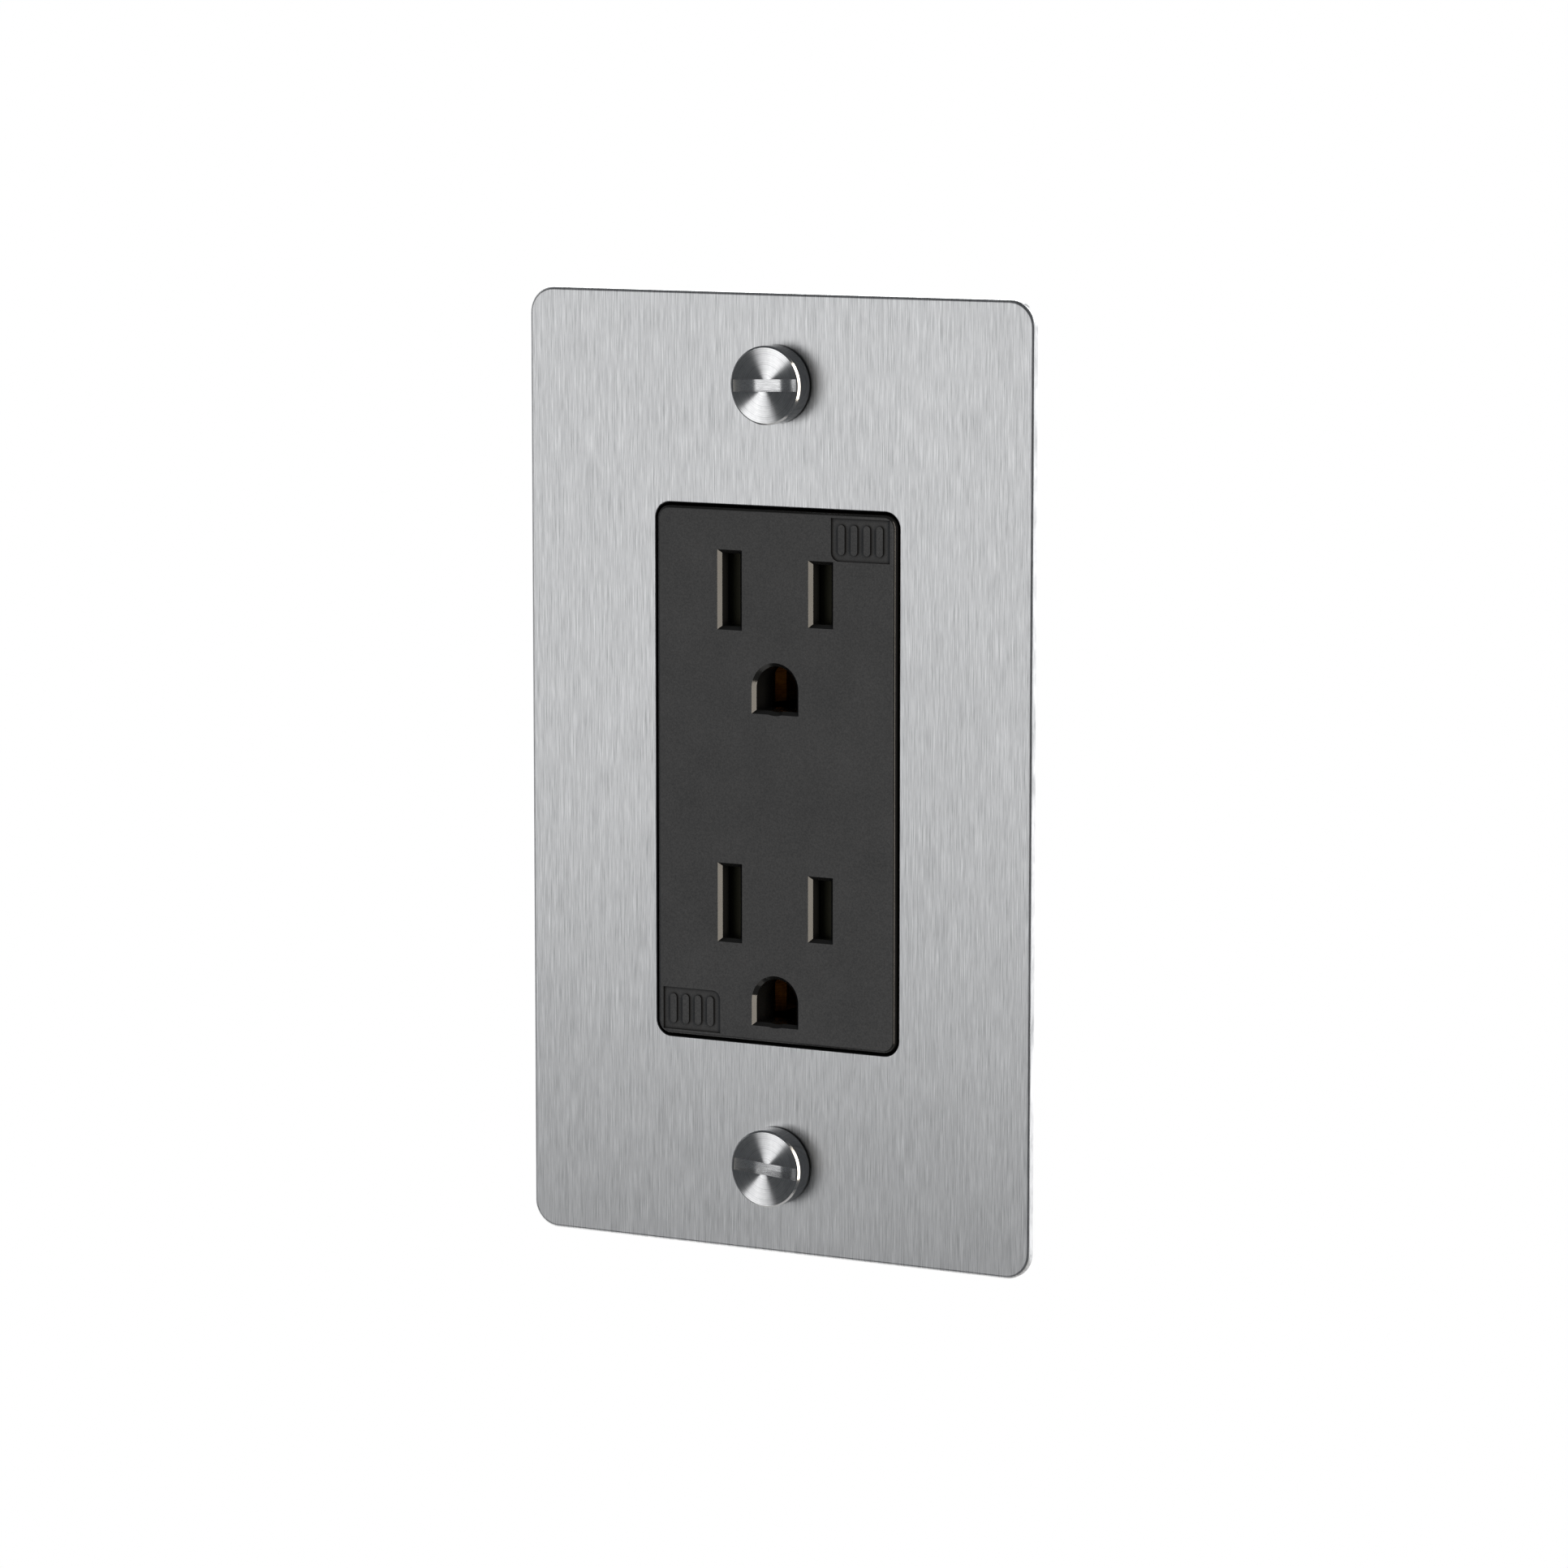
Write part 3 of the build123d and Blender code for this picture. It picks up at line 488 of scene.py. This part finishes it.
def coin_screw(end):
    """A turned, slotted coin head on a threaded shank.

    Its turned face is a piece of its own, so that a lamp can light it alone.
    """
    lo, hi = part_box(f"plate_screw_{end}")
    origin = Vector(((lo.x + hi.x) / 2, lo.y, (lo.z + hi.z) / 2))
    radius = (hi.x - lo.x) / 2
    length = hi.y - lo.y
    bm = bmesh.new()
    lathe(bm, [
        (0, 0),
        (radius - COIN_CHAMFER, 0),
        (radius, COIN_CHAMFER),
        (radius, COIN_T - COIN_EDGE),
        (radius - COIN_EDGE, COIN_T),
        (0, COIN_T),
    ])
    head = finished("coin_head", bm)
    saw = bmesh.new()
    tilt = Matrix.Rotation(math.radians(-SLOT_TILT[end]), 4, "Y")
    bmesh.ops.create_cone(
        saw,
        cap_ends=True,
        segments=SAW_SIDES,
        radius1=SAW_R,
        radius2=SAW_R,
        depth=SLOT_W,
        matrix=tilt @ Matrix.Translation((0, SLOT_DEPTH - SAW_R, 0)),
    )
    head = cut(head, finished("saw", saw))
    bm = bmesh.new()
    bm.from_mesh(head)
    add_thread(bm, SCREW_R, SCREW_ROOT_R, COIN_T, length)
    mesh = finished(f"coin_blank_{end}", bm)
    polished, slotted, zinc = range(3)

    def pick(face):
        x, y, z = face.center
        if y > COIN_T + MESH_GAP:
            return zinc
        inside = math.hypot(x, z) < radius - COIN_CHAMFER - SLOT_INSET and y < COIN_T - MESH_GAP
        return slotted if inside else polished

    body = f"plate_screw_{end}"
    turned = faces_kept(f"coin_face_{end}", mesh, lambda y: y < MESH_GAP)
    rest = faces_kept(f"coin_screw_{end}", mesh, lambda y: y >= MESH_GAP)
    face = stand_in(turned, origin, body, [looks["turned_steel"]], lambda face: 0)
    finishes = [looks["polished_steel"], looks["slotted_steel"], looks["zinc_steel"]]
    stem = stand_in(rest, origin, body, finishes, pick)
    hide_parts(body)
    return face


def box_screw(end):
    """The CAD head and plain neck, with a real thread behind them."""
    name = f"box_screw_{end}"
    lo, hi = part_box(name)
    centre = Vector(((lo.x + hi.x) / 2, 0, (lo.z + hi.z) / 2))
    points = [v.co - centre for v in nodes[name].data.vertices]
    shank_start = min(p.y for p in points if abs(math.hypot(p.x, p.z) - SCREW_R) < SHANK_FIT)
    bm = bmesh.new()
    bm.from_mesh(nodes[name].data)
    bmesh.ops.translate(bm, verts=bm.verts, vec=-centre)
    spare = [f for f in bm.faces if f.calc_center_median().y > shank_start - MESH_GAP]
    bmesh.ops.delete(bm, geom=spare, context="FACES")
    add_thread(bm, SCREW_R, SCREW_ROOT_R, shank_start, hi.y)
    mesh = finished(f"threaded_{name}", bm)
    obj = stand_in(mesh, centre, name, [looks["zinc_steel"]], lambda face: 0)
    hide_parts(name)


coin_faces = [coin_screw(end) for end in ENDS]
for end in ENDS:
    box_screw(end)


# ---------------------------------------------------------------- camera, light and floor
def place_from(azimuth, elevation, distance, target):
    """A point at this distance from the target: azimuth 0 is in front of the plate, in degrees."""
    a = math.radians(azimuth)
    e = math.radians(elevation)
    level = distance * math.cos(e)
    return Vector(target) + Vector((level * math.sin(a), -level * math.cos(a), distance * math.sin(e)))


def look_at(obj, place, target):
    obj.location = place
    obj.rotation_euler = (place - Vector(target)).to_track_quat("Z", "Y").to_euler()


TARGET = (0.00105, -0.0066, -0.00067)
CAMERA_AZIMUTH = 28.563
CAMERA_ELEVATION = 7.769
CAMERA_DISTANCE = 0.7330
camera = bpy.data.objects.new("camera", bpy.data.cameras.new("camera"))
bpy.context.scene.collection.objects.link(camera)
camera.data.lens = 137.0
camera.data.sensor_width = 36.0
camera.data.clip_start = 0.01
look_at(camera, place_from(CAMERA_AZIMUTH, CAMERA_ELEVATION, CAMERA_DISTANCE, TARGET), TARGET)
bpy.context.scene.camera = camera


def softbox(name, azimuth, elevation, distance, width, height, power, colour=(1.0, 1.0, 1.0)):
    lamp = bpy.data.lights.new(name, "AREA")
    lamp.shape = "RECTANGLE"
    lamp.size = width
    lamp.size_y = height
    lamp.energy = power
    lamp.color = colour
    obj = bpy.data.objects.new(name, lamp)
    bpy.context.scene.collection.objects.link(obj)
    look_at(obj, place_from(azimuth, elevation, distance, (0, 0, 0)), (0, 0, 0))
    obj.visible_camera = False
    return obj


def lit_only(lamp, name, objs, state):
    """The lamp lights only these objects (INCLUDE), or all but these (EXCLUDE)."""
    group = bpy.data.collections.new(name)
    for obj in objs:
        group.objects.link(obj)
    lamp.light_linking.receiver_collection = group
    for row in group.collection_objects:
        row.light_linking.link_state = state


# The plate mirrors the front softbox, and the coins' turned faces have an overhead one of their own.
plate = [nodes["wall_plate"]]
front = softbox("front", azimuth=-24.0, elevation=-1.0, distance=1.0, width=1.05, height=0.465, power=1.66)
lit_only(front, "not_coin_faces", coin_faces, "EXCLUDE")
above = softbox("above_coins", azimuth=-23.5, elevation=60, distance=1.6, width=2.1, height=1.16, power=77.0)
above.data.cycles.max_bounces = 0
lit_only(above, "coin_faces", coin_faces, "INCLUDE")
warm = (1.0, 0.91, 0.78)
right = softbox(
    "right", azimuth=61, elevation=10, distance=1.0, width=0.26, height=1.5, power=6.6, colour=warm
)
lit_only(right, "not_coin_faces_or_plate", coin_faces + plate, "EXCLUDE")

# Cards beside, below and behind the plate's plane, which light the plate alone, for its edges.
card = softbox("right_edge_card", azimuth=130, elevation=-8, distance=1.0, width=2.0, height=1.6, power=14.0)
lit_only(card, "right_edge", plate, "INCLUDE")
card = softbox("left_edge_card", azimuth=-110, elevation=20, distance=1.2, width=1.6, height=1.8, power=4.5)
lit_only(card, "left_edge", plate, "INCLUDE")
card = softbox(
    "lower_edge_card", azimuth=-105, elevation=-60, distance=0.37, width=0.5, height=0.5, power=0.5
)
lit_only(card, "lower_edge", plate, "INCLUDE")

softbox("back_left", azimuth=-150, elevation=30, distance=1.2, width=0.7, height=0.9, power=7.0)
softbox("back_right", azimuth=150, elevation=35, distance=1.2, width=0.7, height=0.9, power=7.0)

world = bpy.data.worlds.new("studio")
bpy.context.scene.world = world
world.use_nodes = True
tree = world.node_tree
tree.nodes.clear()
rays = tree.nodes.new("ShaderNodeLightPath")
white = tree.nodes.new("ShaderNodeBackground")
white.inputs[0].default_value = (1.0, 1.0, 1.0, 1.0)
white.inputs[1].default_value = 1.0
dim = tree.nodes.new("ShaderNodeBackground")
dim.inputs[0].default_value = (0.9, 0.95, 1.0, 1.0)
dim.inputs[1].default_value = 0.10
either = tree.nodes.new("ShaderNodeMixShader")
world_out = tree.nodes.new("ShaderNodeOutputWorld")
tree.links.new(rays.outputs["Is Camera Ray"], either.inputs[0])
tree.links.new(dim.outputs[0], either.inputs[1])
tree.links.new(white.outputs[0], either.inputs[2])
tree.links.new(either.outputs[0], world_out.inputs[0])

bpy.ops.mesh.primitive_plane_add(size=1.0, location=(0, 0.30, -0.36))
floor = bpy.context.object
floor.name = "studio_floor"
floor.scale = (1.6, 0.82, 1.0)
g = Graph("floor")
speckle = g.noise(g.stretch(40, 40, 40), detail=3.0)
floor.data.materials.append(g.surface(**{
    "Base Color": g.blend(speckle, (0.80, 0.80, 0.80), (0.86, 0.86, 0.86)),
    "Roughness": g.ramp(speckle, 0.3, 0.7, 0.7, 0.85),
}))

bpy.context.scene.view_settings.view_transform = "Standard"
bpy.context.scene.view_settings.look = "None"
